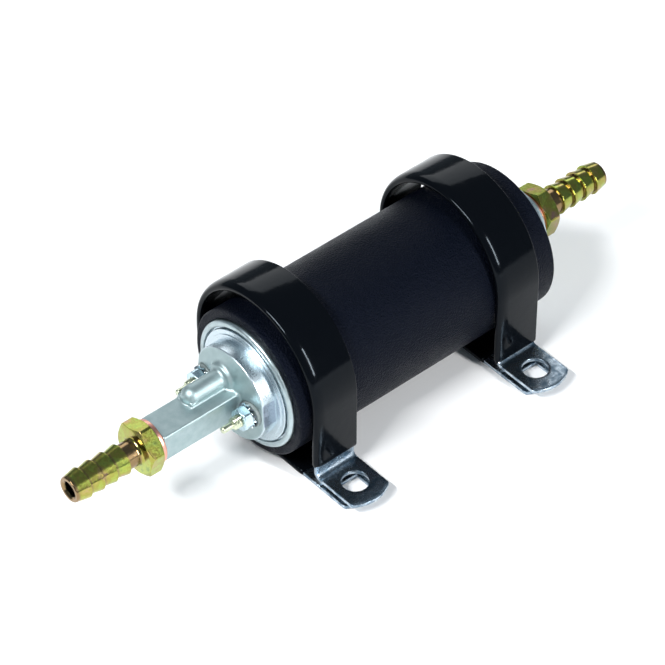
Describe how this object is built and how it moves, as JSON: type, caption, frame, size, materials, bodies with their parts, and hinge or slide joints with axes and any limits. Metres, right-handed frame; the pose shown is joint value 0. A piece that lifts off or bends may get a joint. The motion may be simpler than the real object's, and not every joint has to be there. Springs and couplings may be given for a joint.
{
  "type": "inline electric fuel pump",
  "caption": "Inline electric fuel pump: steel can in a foam sleeve, cast outlet head with screw terminals, hose barbs at both ends, and two coated saddle clamps with bolt tabs.",
  "frame": {"origin": "midway between the two clamp bolt holes, on the top face of the upper clamp tabs", "axes": "+X along the pump from outlet to inlet, +Z out of the upper tabs' top face, +Y from the bolts towards the pump"},
  "size_m": [0.2144, 0.0749, 0.059],
  "materials": {
    "can_steel": "zinc plated, satin",
    "foam_rubber": "matte with a fine leathery skin",
    "cast_aluminium": "fine cast skin, bright where it is turned",
    "yellow_zinc_steel": "yellow zinc plating, glossy",
    "copper_washer": "satin copper",
    "strap_steel": "zinc plated, glossy",
    "black_vinyl": "smooth dipped coating, glossy",
    "terminal_brass": "satin",
    "insulator_plastic": "matte",
    "nut_steel": "bluish zinc plating, glossy",
    "washer_steel": "bright plating",
    "seal_rubber": "matte",
    "valve_brass": "turned",
    "spring_steel": "drawn wire",
    "ball_steel": "polished",
    "shaft_steel": "ground",
    "core_steel": "stacked sheets, lacquered",
    "winding_copper": "enamelled wire",
    "commutator_copper": "turned copper",
    "thrust_plastic": "matte",
    "bush_bronze": "sintered",
    "magnet_ferrite": "ground ferrite",
    "yoke_steel": "rolled strip",
    "holder_plastic": "moulded",
    "brush_carbon": "pressed carbon",
    "sintered_steel": "sintered, ground faces",
    "screw_steel": "black oxide",
    "screen_steel": "perforated"
  },
  "bodies": {
    "housing": {"pump_can": "can_steel", "foam_sleeve": "foam_rubber", "outlet_cap": "cast_aluminium", "inlet_cap": "cast_aluminium", "outlet_cap_seal": "seal_rubber", "inlet_cap_seal": "seal_rubber", "outlet_fitting": "yellow_zinc_steel", "inlet_fitting": "yellow_zinc_steel", "outlet_washer": "copper_washer", "inlet_washer": "copper_washer", "front_clamp_strap": "strap_steel", "rear_clamp_strap": "strap_steel", "front_clamp_coating": "black_vinyl", "rear_clamp_coating": "black_vinyl", "positive_terminal": "terminal_brass", "negative_terminal": "terminal_brass", "terminal_insulators": "insulator_plastic", "terminal_nuts": "nut_steel", "star_washers": "washer_steel", "check_valve_spring": "spring_steel", "check_valve_guide": "valve_brass", "relief_valve_spring": "spring_steel", "relief_valve_plug": "valve_brass", "thrust_washers": "thrust_plastic", "front_bush": "bush_bronze", "rear_bush": "bush_bronze", "upper_magnet": "magnet_ferrite", "lower_magnet": "magnet_ferrite", "magnet_clips": "spring_steel", "flux_ring": "yoke_steel", "brush_holder": "holder_plastic", "upper_brush_spring": "spring_steel", "lower_brush_spring": "spring_steel", "outlet_port_plate": "sintered_steel", "rotor_ring": "sintered_steel", "inlet_port_plate": "sintered_steel", "pump_screws": "screw_steel", "inlet_screen": "screen_steel"},
    "armature": {"armature_shaft": "shaft_steel", "armature_core": "core_steel", "armature_windings": "winding_copper", "commutator": "commutator_copper", "inner_rotor": "sintered_steel"},
    "outer_rotor": {"outer_rotor": "sintered_steel"},
    "check_valve": {"check_valve_poppet": "valve_brass"},
    "relief_valve": {"relief_valve_ball": "ball_steel"},
    "upper_brush": {"upper_brush": "brush_carbon"},
    "lower_brush": {"lower_brush": "brush_carbon"}
  },
  "joints": [
    {"name": "armature_spin", "type": "hinge", "parent": "housing", "child": "armature", "pos_m": [-0.05025, 0.0357, 0.0224], "axis": [1, 0, 0], "continuous": true},
    {"name": "outer_rotor_spin", "type": "hinge", "parent": "housing", "child": "outer_rotor", "pos_m": [-0.05025, 0.0357, 0.0234], "axis": [1, 0, 0], "continuous": true},
    {"name": "check_valve_lift", "type": "slide", "parent": "housing", "child": "check_valve", "axis": [-1, 0, 0], "range_m": [0, 0.0018], "stiffness_N_per_m": 200, "springref_m": -0.002, "deforming": ["check_valve_spring"]},
    {"name": "relief_valve_lift", "type": "slide", "parent": "housing", "child": "relief_valve", "axis": [1, 0, 0], "range_m": [0, 0.0015], "stiffness_N_per_m": 500, "springref_m": -0.006, "deforming": ["relief_valve_spring"]},
    {"name": "upper_brush_slide", "type": "slide", "parent": "housing", "child": "upper_brush", "axis": [0, 0, 1], "range_m": [0, 0.0015], "stiffness_N_per_m": 200, "springref_m": -0.004, "deforming": ["upper_brush_spring"]},
    {"name": "lower_brush_slide", "type": "slide", "parent": "housing", "child": "lower_brush", "axis": [0, 0, -1], "range_m": [0, 0.0015], "stiffness_N_per_m": 200, "springref_m": -0.004, "deforming": ["lower_brush_spring"]}
  ],
  "couplings": [
    {"joint": "outer_rotor_spin", "follows": "armature_spin", "ratio": 0.85714}
  ]
}
